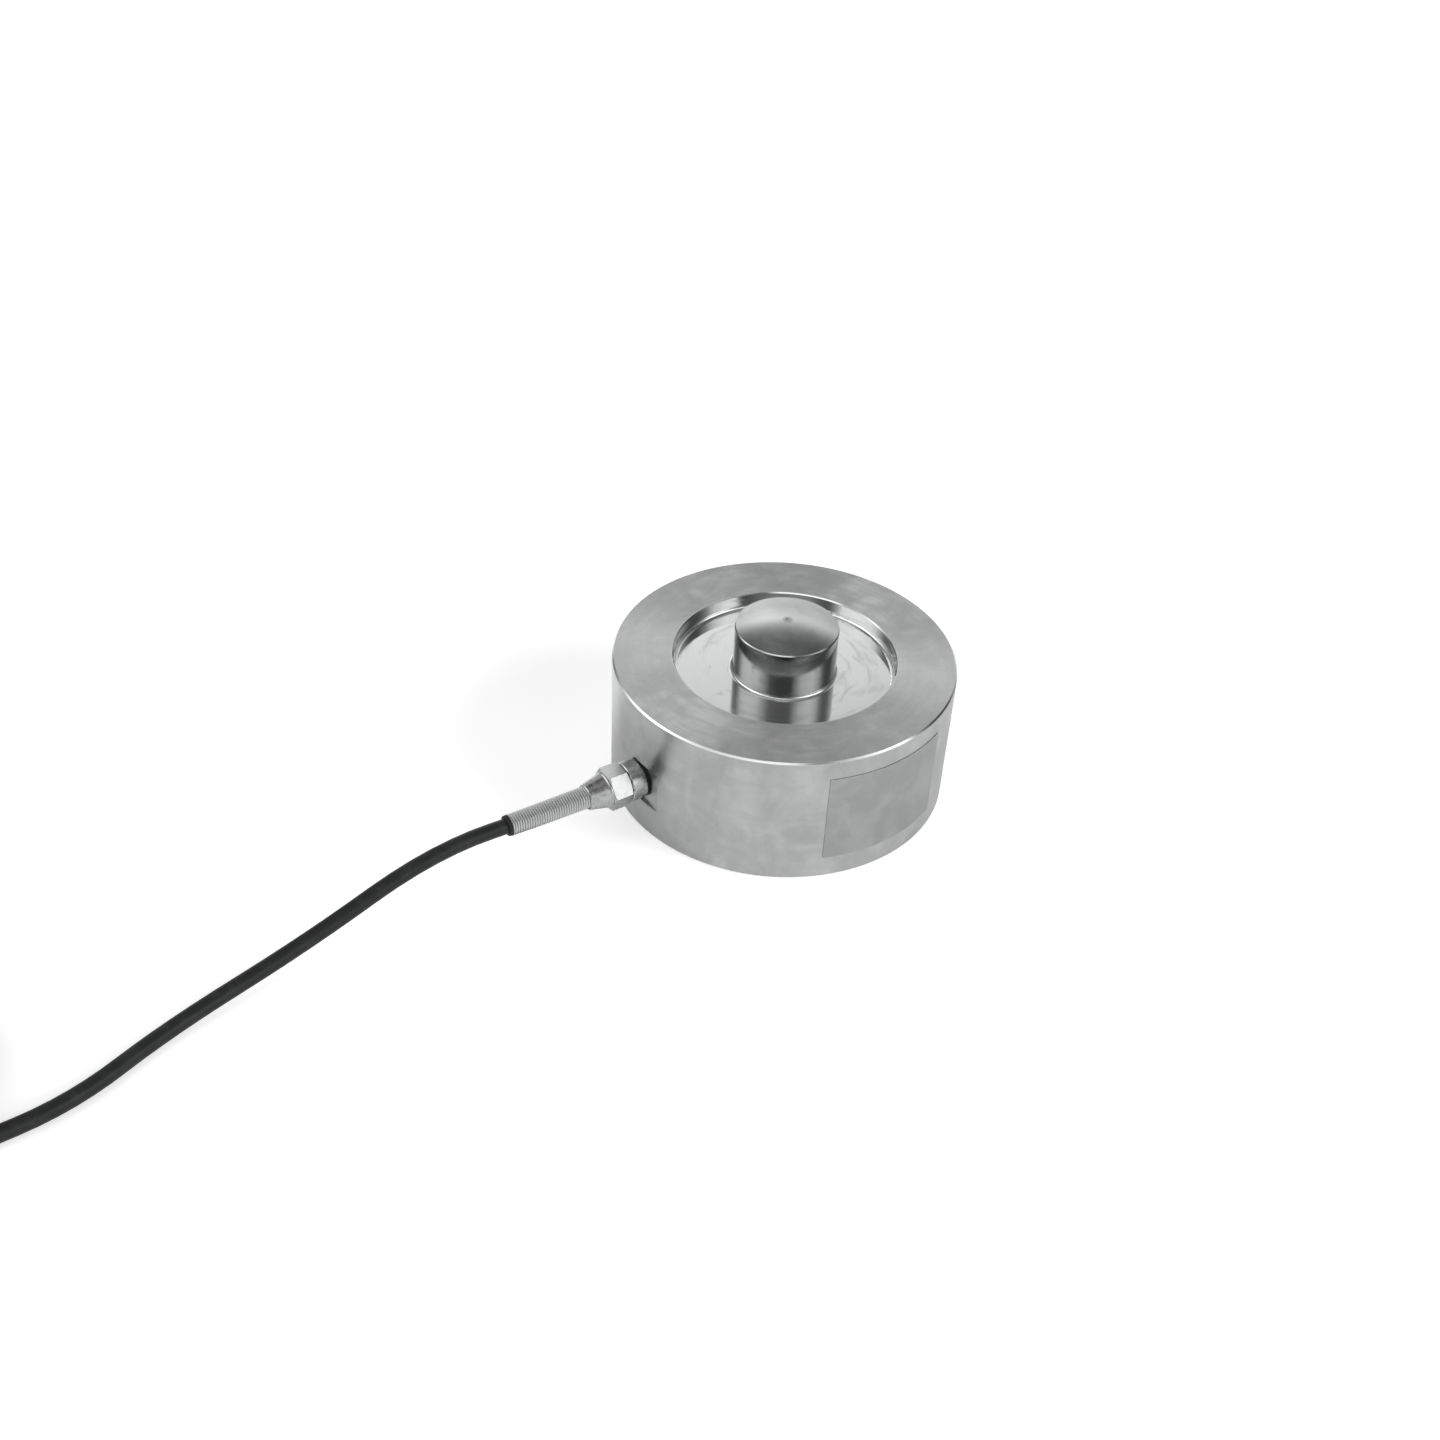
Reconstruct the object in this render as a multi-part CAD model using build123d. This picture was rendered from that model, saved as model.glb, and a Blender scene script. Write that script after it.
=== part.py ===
from build123d import *
import os
from math import asin, cos, degrees, pi, radians, sin, sqrt, tan

# All sizes are millimetres. The origin is the centre of the underside, +Z is the load axis
# and the cable gland points along -X.

# Measuring body
body_diameter = 125.0
body_height = 52.0
body_edge_chamfer = 0.6
top_ring_width = 22.0
recess_depth = 6.0
recess_corner_fillet = 1.5
recess_rim_chamfer = 0.4
button_diameter = 37.6
button_above_rim = 12.5
dome_rise = 2.9
button_foot_fillet = 1.3
button_edge_chamfer = 0.35
centre_mark_diameter = 1.6
centre_mark_depth = 0.35
web_thickness = 12.0
web_width = 20.0
web_chamfer = 2.0
board_ledge = 6.0
ledge_height = 14.0
base_hole_inset = 6.0
base_hole_diameter = 5.0
base_hole_depth = 12.0
base_hole_count = 4
drill_point_angle = 118.0

# Base cover
cover_margin = 5.5
cover_step = 3.0
cover_thickness = 3.0
cover_recess = 0.5
cover_clearance = 0.1
cover_chamfer = 0.4
hub_gap = 0.4

# Strain gauges and their leads
gauge_length = 4.0
gauge_width = 6.0
gauge_thickness = 0.15
gauge_count = 4
gauge_first_angle = 45.0
gauge_setback = 4.4
lead_width = 1.2
lead_thickness = 0.3
lead_bend = 1.2
lead_lean = 2.6

# Terminal board inside the chamber
board_thickness = 1.6
board_gap = 0.6
board_screw_thread = 2.5
board_screw_length = 6.5
board_screw_across_flats = 4.5
board_screw_head_height = 1.7
board_screw_count = 4
board_hole_clearance = 0.15
pad_size = 2.4
core_pad_size = 1.3
pad_height = 0.4
resistor_diameter = 2.2
resistor_length = 6.2
resistor_wire = 0.6
resistor_wire_reach = 2.2
resistor_setback = 10.5
resistor_angles = (0.0, 90.0, 270.0)

# Gland pocket, port and passage
gland_height = 21.0
pocket_depth = 1.1
pocket_height = 16.4
port_diameter = 12.0
port_depth = 9.5
passage_diameter = 5.2
thread_play = 0.12

# Cable gland, with lengths measured along its axis
o_ring_width = 1.25
o_ring_gap = 0.9
shank_length = 8.9
collar_diameter = 14.8
collar_length = 5.9
collar_chamfer = 0.35
neck_diameter = 11.2
neck_length = 6.2
seal_diameter = 8.8
seal_length = 5.2
washer_thickness = 0.8
nut_across_flats = 14.0
nut_gap = 0.25
nut_hex_length = 7.4
nut_end_chamfer = 0.6
nut_shoulder_diameter = 13.4
nut_shoulder_length = 0.8
nut_cone_length = 7.3
nut_nose_diameter = 9.4
nut_turn = 36.0
nose_bore_depth = 2.0
bore_play = 0.15

# Strain relief spring and its end bush
spring_pitch = 1.0
spring_turn_gap = 0.05
spring_wire_back = 0.3
spring_inner_end_diameter = 8.24
spring_outer_end_diameter = 7.7
spring_showing = 30.1
bush_length = 1.1
bush_diameter = 7.4
bush_chamfer = 0.3

# Cable
cable_diameter = 5.5
cable_strip_inset = 6.9
cable_grip_play = 0.05
core_diameter = 1.1
core_sides = 8
core_offset = 0.75
core_bend = 2.5
core_setback = 5.0
core_stagger = 3.0
plug_length = 7.0
cable_floor = 2.8
coil_turn_height = 3.75
cable_points = [
    (80.6, 0.0, gland_height),
    (128.6, -2.5, 8.0),
    (178.6, -10.0, cable_floor),
    (212.6, -24.0, coil_turn_height),
    (245.6, -24.0, coil_turn_height),
]

# Cable coil, its tie and the bare end
coil_reach = 33.0
coil_middle_radius = 32.9
coil_spiral_turns = 3
coil_layers = 4
tail_route = [(25.0, 18.6), (60.0, coil_turn_height), (86.0, coil_turn_height)]
tie_thickness = 0.8
tie_width = 4.6
tie_play = 0.2
tie_angle = 118.0
tie_head = (6.0, 6.6, 4.2)
sleeve_length = 14.0
sleeve_wall = 0.45
sleeve_overlap = 8.0
tail_lead_length = 34.0
tail_lead_tip = 6.0
tail_lead_tip_diameter = 0.7
tail_lead_fan = (24.0, 8.0, -8.0, -24.0)

# Nameplate on the side
plate_thickness = 0.2
plate_film = 0.12
plate_start_angle = -111.0
plate_end_angle = -65.5
plate_bottom = 9.0
plate_height = 35.2

# Derived sizes of the body
body_radius = body_diameter / 2
recess_diameter = body_diameter - 2 * top_ring_width
base_hole_circle = body_diameter - 2 * base_hole_inset
cover_diameter = base_hole_circle - 2 * cover_margin
chamber_diameter = cover_diameter - 2 * cover_step
cavity_diameter = chamber_diameter - 2 * board_ledge
hub_diameter = cavity_diameter - 2 * web_width
recess_floor = body_height - recess_depth
button_rim_height = body_height + button_above_rim
apex_height = button_rim_height + dome_rise
dome_radius = ((button_diameter / 2) ** 2 + dome_rise**2) / (2 * dome_rise)
web_underside = recess_floor - web_thickness
cover_seat = cover_recess + cover_thickness
hub_underside = cover_seat + hub_gap
inner_gauge_radius = hub_diameter / 2 + gauge_setback
outer_gauge_radius = cavity_diameter / 2 - gauge_setback
gauge_face = web_underside - gauge_thickness
board_top = ledge_height
board_underside = board_top - board_thickness
board_inner_radius = hub_diameter / 2 + board_gap * 3
board_outer_radius = chamber_diameter / 2 - board_gap
board_screw_circle = (cavity_diameter + chamber_diameter) / 4
pad_top = board_top + pad_height
resistor_radius = hub_diameter / 2 + resistor_setback
outer_landing = cavity_diameter / 2 - core_setback
inner_landing = outer_landing - core_stagger

# Derived stations along the gland's axis, measured from the body's axis
flat_station = body_radius - pocket_depth
collar_start = flat_station + o_ring_gap
collar_end = collar_start + collar_length
nut_start = collar_end + nut_gap
hex_end = nut_start + nut_hex_length
cone_start = hex_end + nut_shoulder_length
nose_end = cone_start + nut_cone_length
spring_seat = nose_end - nose_bore_depth
spring_end = nose_end + spring_showing
spring_wire = spring_pitch - spring_turn_gap
neck_end = collar_end + neck_length
washer_end = neck_end + washer_thickness
cable_bore_radius = cable_diameter / 2 + bore_play
cable_grip_radius = cable_diameter / 2 + cable_grip_play

# The cable's route, with its points given out from the flat, across and up
strip_station = flat_station - cable_strip_inset
cable_route = [(-strip_station, 0.0, gland_height)]
cable_route += [(-flat_station - out, across, up) for out, across, up in cable_points]

# Derived sizes of the coil
coil_inner_turn = coil_middle_radius - cable_diameter * coil_spiral_turns / 2
coil_outer_turn = coil_middle_radius + cable_diameter * coil_spiral_turns / 2
coil_bore_radius = coil_inner_turn - cable_diameter / 2 - tie_play
coil_rim_radius = coil_outer_turn + cable_diameter / 2 + tie_play
coil_centre_x = cable_route[-1][0] - coil_reach
coil_centre = (coil_centre_x, cable_route[-1][1] + coil_outer_turn)
coil_underside = coil_turn_height - cable_diameter / 2
coil_height = coil_layers * cable_diameter
coil_top_turn = coil_turn_height + (coil_layers - 1) * cable_diameter
tail_end = (coil_centre_x - tail_route[-1][0], cable_route[-1][1], coil_turn_height)

os.makedirs("parts", exist_ok=True)


def save(shape, node):
    """Write one node's solids to its own STEP file."""
    export_step(shape, f"parts/{node}.step")


def turned(corners):
    """Revolve an outline of (radius, height) corners about Z."""
    face = make_face(Polyline(*corners, close=True))
    return revolve(Plane.XZ * face, axis=Axis.Z)


def round_bar(radius, start, end):
    """A solid bar about Z between two heights."""
    return Pos(0, 0, (start + end) / 2) * Cylinder(radius, end - start)


def ring(inner_radius, outer_radius, bottom, top):
    """A plain ring about Z."""
    height = top - bottom
    middle = (bottom + top) / 2
    solid = Cylinder(outer_radius, height) - Cylinder(inner_radius, height)
    return Pos(0, 0, middle) * solid


def rod(start, end, radius):
    """A round bar from one point to another."""
    line = Line(start, end)
    return sweep(Plane(line @ 0, z_dir=line % 0) * Circle(radius), path=line)


def bent_bar(points, section, bend):
    """A bar of any section along straight runs joined by arcs of one radius."""
    path = FilletPolyline(*points, radius=bend)
    return sweep(Plane(path @ 0, z_dir=path % 0) * section, path=path)


def core_section(play=0.0):
    """The section of a cable core, or of a hole round it."""
    return RegularPolygon(core_diameter / 2 + play, core_sides)


def around(angle, shape):
    """Turn a shape about the load axis."""
    return Rot(0, 0, angle) * shape


def on_gland(shape):
    """Place a shape made along +Z on the gland's axis, with its heights as stations."""
    return Pos(0, 0, gland_height) * Rot(0, -90, 0) * shape


def body_blank():
    """The turned body in one revolve: base ring, measuring web, hub and domed button."""
    rim = body_radius
    button = button_diameter / 2
    mark = centre_mark_diameter / 2
    dome_start = button - button_edge_chamfer
    dome_centre = apex_height - dome_radius
    dome_start_height = dome_centre + sqrt(dome_radius**2 - dome_start**2)
    mark_height = dome_centre + sqrt(dome_radius**2 - mark**2)
    start_angle = 90 - degrees(asin(dome_start / dome_radius))
    end_angle = 90 - degrees(asin(mark / dome_radius))
    dome = CenterArc((0, dome_centre), dome_radius, start_angle, end_angle - start_angle)
    outline = Polyline(
        (mark, mark_height),
        (0, apex_height - centre_mark_depth),
        (0, hub_underside),
        (hub_diameter / 2, hub_underside),
        (hub_diameter / 2, web_underside - web_chamfer),
        (hub_diameter / 2 + web_chamfer, web_underside),
        (cavity_diameter / 2 - web_chamfer, web_underside),
        (cavity_diameter / 2, web_underside - web_chamfer),
        (cavity_diameter / 2, ledge_height),
        (chamber_diameter / 2, ledge_height),
        (chamber_diameter / 2, cover_seat),
        (cover_diameter / 2, cover_seat),
        (cover_diameter / 2, 0),
        (rim - body_edge_chamfer, 0),
        (rim, body_edge_chamfer),
        (rim, body_height - body_edge_chamfer),
        (rim - body_edge_chamfer, body_height),
        (recess_diameter / 2 + recess_rim_chamfer, body_height),
        (recess_diameter / 2, body_height - recess_rim_chamfer),
        (recess_diameter / 2, recess_floor),
        (button, recess_floor),
        (button, dome_start_height - button_edge_chamfer),
        (dome_start, dome_start_height),
    )
    face = make_face([outline, dome])
    rounded = (
        ((recess_diameter / 2, recess_floor), recess_corner_fillet),
        ((button, recess_floor), button_foot_fillet),
    )
    for corner, radius in rounded:
        nearest = face.vertices().sort_by_distance(Vector(corner[0], corner[1]))[0]
        face = fillet(nearest, radius)
    return revolve(Plane.XZ * face, axis=Axis.Z)


def base_hole():
    """One tapping hole from below, with its drill point."""
    radius = base_hole_diameter / 2
    point = radius / tan(radians(drill_point_angle / 2))
    corners = [(0, 0), (radius, 0), (radius, base_hole_depth), (0, base_hole_depth + point)]
    return turned(corners)


def board_screw_places():
    """Angles of the board's screws, clear of the gland's passage."""
    step = 360 / board_screw_count
    return [step * (i + 0.5) for i in range(board_screw_count)]


def make_spring_body():
    """The body with its gland pocket, port, passage, base holes and board screw holes."""
    body = body_blank()
    pocket_reach = pocket_depth * 4
    pocket = Box(pocket_reach, body_radius, pocket_height)
    body -= Pos(-flat_station - pocket_reach / 2, 0, gland_height) * pocket
    port_start = flat_station - port_depth
    port = round_bar(port_diameter / 2, port_start, flat_station + pocket_depth)
    passage = round_bar(passage_diameter / 2, cavity_diameter / 2 - web_chamfer, port_start)
    body -= on_gland(port)
    body -= on_gland(passage)
    for i in range(base_hole_count):
        angle = 360 / base_hole_count * (i + 0.5)
        body -= around(angle, Pos(base_hole_circle / 2, 0, 0) * base_hole())
    screw_hole = Cylinder(board_screw_thread / 2, board_screw_length)
    for angle in board_screw_places():
        middle = ledge_height + board_screw_length / 2
        body -= around(angle, Pos(board_screw_circle, 0, middle) * screw_hole)
    return body


def make_base_cover():
    """The plate that closes the chamber, seated on the step and set in from the base."""
    radius = cover_diameter / 2 - cover_clearance
    corners = [
        (0, cover_recess),
        (radius - cover_chamfer, cover_recess),
        (radius, cover_recess + cover_chamfer),
        (radius, cover_seat),
        (0, cover_seat),
    ]
    return turned(corners)


def gauge_angles():
    """Angles of the gauges about the load axis."""
    return [gauge_first_angle + 360 / gauge_count * i for i in range(gauge_count)]


def make_gauge(radius, angle):
    """One foil gauge bonded under the web."""
    foil = Box(gauge_length, gauge_width, gauge_thickness)
    return around(angle, Pos(radius, 0, web_underside - gauge_thickness / 2) * foil)


def make_bridge_lead(radius, angle, lean):
    """One ribbon lead from a gauge down to its pad on the board."""
    drop = web_underside - pad_top
    points = [
        (radius, 0, gauge_face),
        (radius, 0, gauge_face - drop / 3),
        (radius + lean, 0, pad_top + drop / 3),
        (radius + lean, 0, pad_top),
    ]
    return around(angle, bent_bar(points, Rectangle(lead_thickness, lead_width), lead_bend))


def make_terminal_board():
    """The ring-shaped board, drilled for its screws."""
    board = ring(board_inner_radius, board_outer_radius, board_underside, board_top)
    hole = Cylinder(board_screw_thread / 2 + board_hole_clearance, board_thickness * 3)
    for angle in board_screw_places():
        board -= around(angle, Pos(board_screw_circle, 0, board_underside) * hole)
    return board


def make_board_screws():
    """The screws that hold the board up to the ledge, each a solid of its own."""
    shank_radius = board_screw_thread / 2 - thread_play
    head = extrude(RegularPolygon(board_screw_across_flats / sqrt(3), 6), board_screw_head_height)
    screw = Pos(0, 0, board_underside - board_screw_head_height) * head
    screw += round_bar(shank_radius, board_underside, board_underside + board_screw_length)
    return [around(a, Pos(board_screw_circle, 0, 0) * screw) for a in board_screw_places()]


def core_places():
    """The four cores as (side, up) signs about the cable's axis."""
    return [(side, up) for side in (-1, 1) for up in (-1, 1)]


def core_landing_of(up):
    """How far from the load axis a core comes down: the upper ones reach further in."""
    return inner_landing if up > 0 else outer_landing


def make_solder_pads():
    """The pads under the gauge leads and the cable's cores."""
    pad = Box(pad_size, pad_size, pad_height)
    height = board_top + pad_height / 2
    pads = []
    for angle in gauge_angles():
        for radius in (inner_gauge_radius + lead_lean, outer_gauge_radius - lead_lean):
            pads.append(around(angle, Pos(radius, 0, height) * pad))
    small = Box(pad_size, core_pad_size, pad_height)
    for side, up in core_places():
        place = Pos(-core_landing_of(up), side * core_offset, height)
        pads.append(place * small)
    return pads


def make_resistor(angle):
    """One axial trimming resistor with its wires bent down to the board."""
    lift = board_top + resistor_diameter / 2
    reach = resistor_length / 2 + resistor_wire_reach
    barrel = Rot(90, 0, 0) * Cylinder(resistor_diameter / 2, resistor_length)
    solid = Pos(resistor_radius, 0, lift) * barrel
    wire = Rectangle(resistor_wire, resistor_wire)
    for side in (-1, 1):
        points = [
            (resistor_radius, side * resistor_length / 4, lift),
            (resistor_radius, side * reach, lift),
            (resistor_radius, side * reach, board_top),
        ]
        solid += bent_bar(points, wire, resistor_wire)
    return around(angle, solid)


def make_core(side, up):
    """One core, from the stripped end of the cable through the passage to the board."""
    across = side * core_offset
    height = gland_height + up * core_offset
    landing = core_landing_of(up)
    points = [
        (-strip_station, across, height),
        (-landing, across, height),
        (-landing, across, pad_top),
    ]
    return bent_bar(points, core_section(), core_bend)


def make_passage_plug():
    """The sealing plug in the passage, with a hole for each core."""
    end = flat_station - port_depth
    plug = round_bar(passage_diameter / 2 - cable_grip_play, end - plug_length, end)
    plug = on_gland(plug)
    for side, up in core_places():
        start = (-end - plug_length, side * core_offset, gland_height + up * core_offset)
        finish = (plug_length - end, start[1], start[2])
        line = Line(start, finish)
        hole = Plane(line @ 0, z_dir=line % 0) * core_section(cable_grip_play)
        plug -= sweep(hole, path=line)
    return plug


def make_o_ring():
    """The sealing ring, pressed flat between the pocket and the collar."""
    inner = port_diameter / 2 - thread_play + cable_grip_play
    outer = inner + o_ring_width
    bulge = o_ring_gap / 3
    corners = [
        (inner, flat_station),
        (outer - bulge, flat_station),
        (outer, flat_station + bulge),
        (outer, collar_start - bulge),
        (outer - bulge, collar_start),
        (inner, collar_start),
    ]
    return on_gland(turned(corners))


def make_gland_body():
    """The gland's body: threaded shank, round collar and threaded neck with the seal's seat."""
    shank = port_diameter / 2 - thread_play
    collar = collar_diameter / 2
    neck = neck_diameter / 2
    seal = seal_diameter / 2 + cable_grip_play
    seal_floor = neck_end - seal_length
    shank_start = collar_start - shank_length
    corners = [
        (cable_bore_radius, shank_start),
        (shank - thread_play * 4, shank_start),
        (shank, shank_start + thread_play * 4),
        (shank, collar_start),
        (collar - collar_chamfer, collar_start),
        (collar, collar_start + collar_chamfer),
        (collar, collar_end - collar_chamfer),
        (collar - collar_chamfer, collar_end),
        (neck, collar_end),
        (neck, neck_end),
        (seal, neck_end),
        (seal, seal_floor),
        (cable_bore_radius, seal_floor),
    ]
    return on_gland(turned(corners))


def make_gland_seal():
    """The rubber bush that grips the cable inside the neck."""
    return on_gland(ring(cable_grip_radius, seal_diameter / 2, neck_end - seal_length, neck_end))


def make_gland_washer():
    """The thrust washer between the neck and the nut."""
    radius = neck_diameter / 2 - bore_play
    return on_gland(ring(cable_bore_radius, radius, neck_end, washer_end))


def make_gland_nut():
    """The hexagon nut with its conical nose, bored for the neck, the cable and the spring."""
    corner_radius = nut_across_flats / sqrt(3)
    flat_radius = nut_across_flats / 2
    blank = extrude(RegularPolygon(corner_radius, 6), nut_hex_length)
    blank = Pos(0, 0, nut_start) * Rot(0, 0, nut_turn) * blank
    envelope = [
        (0, nut_start),
        (flat_radius - nut_end_chamfer / 4, nut_start),
        (corner_radius + nut_end_chamfer / 4, nut_start + nut_end_chamfer),
        (corner_radius + nut_end_chamfer / 4, hex_end - nut_end_chamfer),
        (flat_radius - nut_end_chamfer / 4, hex_end),
        (0, hex_end),
    ]
    blank &= turned(envelope)
    shoulder = nut_shoulder_diameter / 2
    nose = nut_nose_diameter / 2
    tip_chamfer = nut_end_chamfer / 2
    blank += turned(
        [
            (0, hex_end - nut_end_chamfer),
            (shoulder, hex_end - nut_end_chamfer),
            (shoulder, hex_end + nut_shoulder_length / 2),
            (shoulder - nut_shoulder_length / 2, cone_start),
            (nose, nose_end - tip_chamfer),
            (nose - tip_chamfer, nose_end),
            (0, nose_end),
        ]
    )
    blank -= round_bar(neck_diameter / 2 + thread_play, nut_start, washer_end)
    blank -= round_bar(cable_bore_radius, nut_start, nose_end)
    spring_bore = spring_inner_end_diameter / 2 + bore_play
    blank -= round_bar(spring_bore, spring_seat, nose_end)
    return on_gland(blank)


def make_strain_relief_spring():
    """The close-wound bend relief: one wire on a slightly tapering helix, its ends ground flat."""
    start = spring_seat + cable_grip_play
    length = spring_end - start
    slope = (spring_outer_end_diameter - spring_inner_end_diameter) / 2 / length
    first_radius = (spring_inner_end_diameter - spring_wire) / 2 - slope * spring_pitch
    wound_length = length + 2 * spring_pitch
    helix = Helix(spring_pitch, wound_length, first_radius, cone_angle=degrees(asin(slope)))
    outward = Vector((helix @ 0).X, (helix @ 0).Y, 0)
    across = Plane(helix @ 0, x_dir=outward, z_dir=helix % 0)
    half = spring_wire / 2
    ridge = Polyline((half, 0), (-spring_wire_back, half), (-spring_wire_back, -half), close=True)
    wire = sweep(across * make_face(ridge), path=helix, is_frenet=True)
    ground = Pos(0, 0, start + length / 2) * Cylinder(spring_inner_end_diameter, length)
    return on_gland((Pos(0, 0, start - spring_pitch) * wire) & ground)


def make_spring_end_bush():
    """The rubber bush in the mouth of the spring."""
    start = spring_end + cable_grip_play
    end = start + bush_length
    corners = [
        (cable_grip_radius, start),
        (bush_diameter / 2, start),
        (bush_diameter / 2, end - bush_chamfer),
        (bush_diameter / 2 - bush_chamfer, end),
        (cable_grip_radius, end),
    ]
    return on_gland(turned(corners))


def corner_radii(points):
    """Arc radii for a route: 0.45 of the shorter run over the tangent of half the turn."""
    radii = []
    for before, here, after in zip(points, points[1:], points[2:]):
        first = Vector(*here) - Vector(*before)
        second = Vector(*after) - Vector(*here)
        half_turn = radians(first.get_angle(second)) / 2
        radii.append(0.45 * min(first.length, second.length) / tan(half_turn))
    return radii


def make_cable():
    """The cable from its stripped end in the port, out through the gland, to the coil."""
    radii = corner_radii(cable_route)
    path = FilletPolyline(*cable_route, radius=radii)
    tube = sweep(Plane(path @ 0, z_dir=path % 0) * Circle(cable_diameter / 2), path=path)
    print("cable arc radii", [round(r, 1) for r in radii])
    print("cable tube length", round(path.length, 1))
    ideal = pi * cable_diameter**2 / 4 * path.length
    print("cable tube volume over section times length", round(tube.volume / ideal, 5))
    return tube


def make_cable_coil():
    """The put-away cable as the outer shape of its coil, with a stub where each end leaves."""
    bundle = ring(coil_bore_radius, coil_rim_radius, coil_underside, coil_underside + coil_height)
    coil = Pos(*coil_centre, 0) * bundle
    entry = cable_route[-1]
    coil += rod(entry, (coil_centre_x, entry[1], entry[2]), cable_diameter / 2)
    tail = [(coil_centre_x, entry[1], coil_top_turn)]
    for along, height in tail_route:
        tail.append((coil_centre_x - along, entry[1], height))
    path = FilletPolyline(*tail, radius=corner_radii(tail))
    return coil + sweep(Plane(path @ 0, z_dir=path % 0) * Circle(cable_diameter / 2), path=path)


def make_coil_tie():
    """The tie round the coil's bundle, with its head on the outside."""
    width = coil_rim_radius - coil_bore_radius
    wall = tie_play + tie_thickness
    outer = Rectangle(width + 2 * wall, coil_height + 2 * wall)
    outer = chamfer(outer.vertices(), tie_thickness / 2)
    inner = Rectangle(width + 2 * tie_play, coil_height + 2 * tie_play)
    loop = extrude(outer - inner, tie_width / 2, both=True)
    middle = (coil_bore_radius + coil_rim_radius) / 2
    upright = Pos(middle, 0, coil_underside + coil_height / 2) * Rot(90, 0, 0)
    strap = upright * loop
    reach = coil_rim_radius + tie_play + tie_head[0] / 2
    height = coil_underside + coil_height - tie_head[2] * 1.5
    strap += Pos(reach, 0, height) * Box(*tie_head)
    return Pos(*coil_centre, 0) * Rot(0, 0, tie_angle) * strap


def on_tail(shape):
    """Place a shape made along +Y from the cable's far end, which points along -X."""
    return Pos(*tail_end) * Rot(0, 0, 90) * shape


def make_tail_sleeve():
    """The shrink sleeve over the cable's bare end."""
    radius = cable_diameter / 2 + cable_grip_play
    sleeve = ring(radius, radius + sleeve_wall, 0, sleeve_length)
    return on_tail(Pos(0, -sleeve_overlap, 0) * Rot(-90, 0, 0) * sleeve)


def make_flying_lead(side, up, fan):
    """One stripped core at the cable's far end, coming down to rest beside the others."""
    start = (side * core_offset, 0, up * core_offset)
    sleeve_run = sleeve_length - sleeve_overlap
    rest = core_diameter / 2 + cable_grip_play - coil_turn_height
    heading = Vector(sin(radians(fan)), cos(radians(fan)), 0)
    mouth = Vector(*start) + Vector(0, sleeve_run, 0)
    low = mouth + heading * (tail_lead_length / 3)
    low = Vector(low.X, low.Y, rest)
    end = low + heading * (tail_lead_length * 2 / 3)
    tip = end + heading * tail_lead_tip
    lead = bent_bar([start, mouth, low, end], core_section(), core_bend)
    return on_tail(lead + rod(end, tip, tail_lead_tip_diameter / 2))


def make_nameplate():
    """The bare foil plate, bent to the body's side."""
    sweep_angle = plate_end_angle - plate_start_angle
    middle = body_radius + plate_film + plate_thickness / 2
    place = Pos(middle, plate_bottom + plate_height / 2)
    strip = place * Rectangle(plate_thickness, plate_height)
    plate = revolve(Plane.XZ * strip, axis=Axis.Z, revolution_arc=sweep_angle)
    return around(plate_start_angle, plate)


save(make_spring_body(), "spring_body")
save(make_base_cover(), "base_cover")
save(make_terminal_board(), "terminal_board")
save(Compound(make_board_screws()), "board_screws")
save(Compound(make_solder_pads()), "solder_pads")
for number, angle in enumerate(gauge_angles(), 1):
    save(make_gauge(inner_gauge_radius, angle), f"gauge_inner_{number}")
    save(make_gauge(outer_gauge_radius, angle), f"gauge_outer_{number}")
    inner_lead = make_bridge_lead(inner_gauge_radius, angle, lead_lean)
    outer_lead = make_bridge_lead(outer_gauge_radius, angle, -lead_lean)
    save(inner_lead, f"bridge_lead_inner_{number}")
    save(outer_lead, f"bridge_lead_outer_{number}")
for number, angle in enumerate(resistor_angles, 1):
    save(make_resistor(angle), f"trim_resistor_{number}")
for number, (side, up) in enumerate(core_places(), 1):
    save(make_core(side, up), f"cable_core_{number}")
save(make_passage_plug(), "passage_plug")
save(make_o_ring(), "gland_o_ring")
save(make_gland_body(), "gland_body")
save(make_gland_seal(), "gland_seal")
save(make_gland_washer(), "gland_washer")
save(make_gland_nut(), "gland_nut")
save(make_strain_relief_spring(), "strain_relief_spring")
save(make_spring_end_bush(), "spring_end_bush")
save(make_cable(), "cable")
save(make_cable_coil(), "cable_coil")
save(make_coil_tie(), "coil_tie")
save(make_tail_sleeve(), "tail_sleeve")
lead_places = [(-1, 1), (-1, -1), (1, -1), (1, 1)]
for number, ((side, up), fan) in enumerate(zip(lead_places, tail_lead_fan), 1):
    save(make_flying_lead(side, up, -fan), f"flying_lead_{number}")
save(make_nameplate(), "nameplate")
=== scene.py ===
import math

import bpy
from mathutils import Matrix, Vector


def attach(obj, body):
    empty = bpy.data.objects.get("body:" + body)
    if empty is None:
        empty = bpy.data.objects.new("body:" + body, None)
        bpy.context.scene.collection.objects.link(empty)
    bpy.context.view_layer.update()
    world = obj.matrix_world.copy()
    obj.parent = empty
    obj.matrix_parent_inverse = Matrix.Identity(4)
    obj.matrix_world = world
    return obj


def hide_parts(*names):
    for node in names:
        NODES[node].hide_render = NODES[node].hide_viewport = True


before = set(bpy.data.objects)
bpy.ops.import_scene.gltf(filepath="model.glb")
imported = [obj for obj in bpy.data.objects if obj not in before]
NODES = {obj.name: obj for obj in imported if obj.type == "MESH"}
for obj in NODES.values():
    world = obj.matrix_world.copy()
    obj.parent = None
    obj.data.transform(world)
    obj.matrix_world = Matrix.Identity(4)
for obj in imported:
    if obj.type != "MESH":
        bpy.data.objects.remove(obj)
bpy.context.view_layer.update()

MM = 0.001

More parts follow.
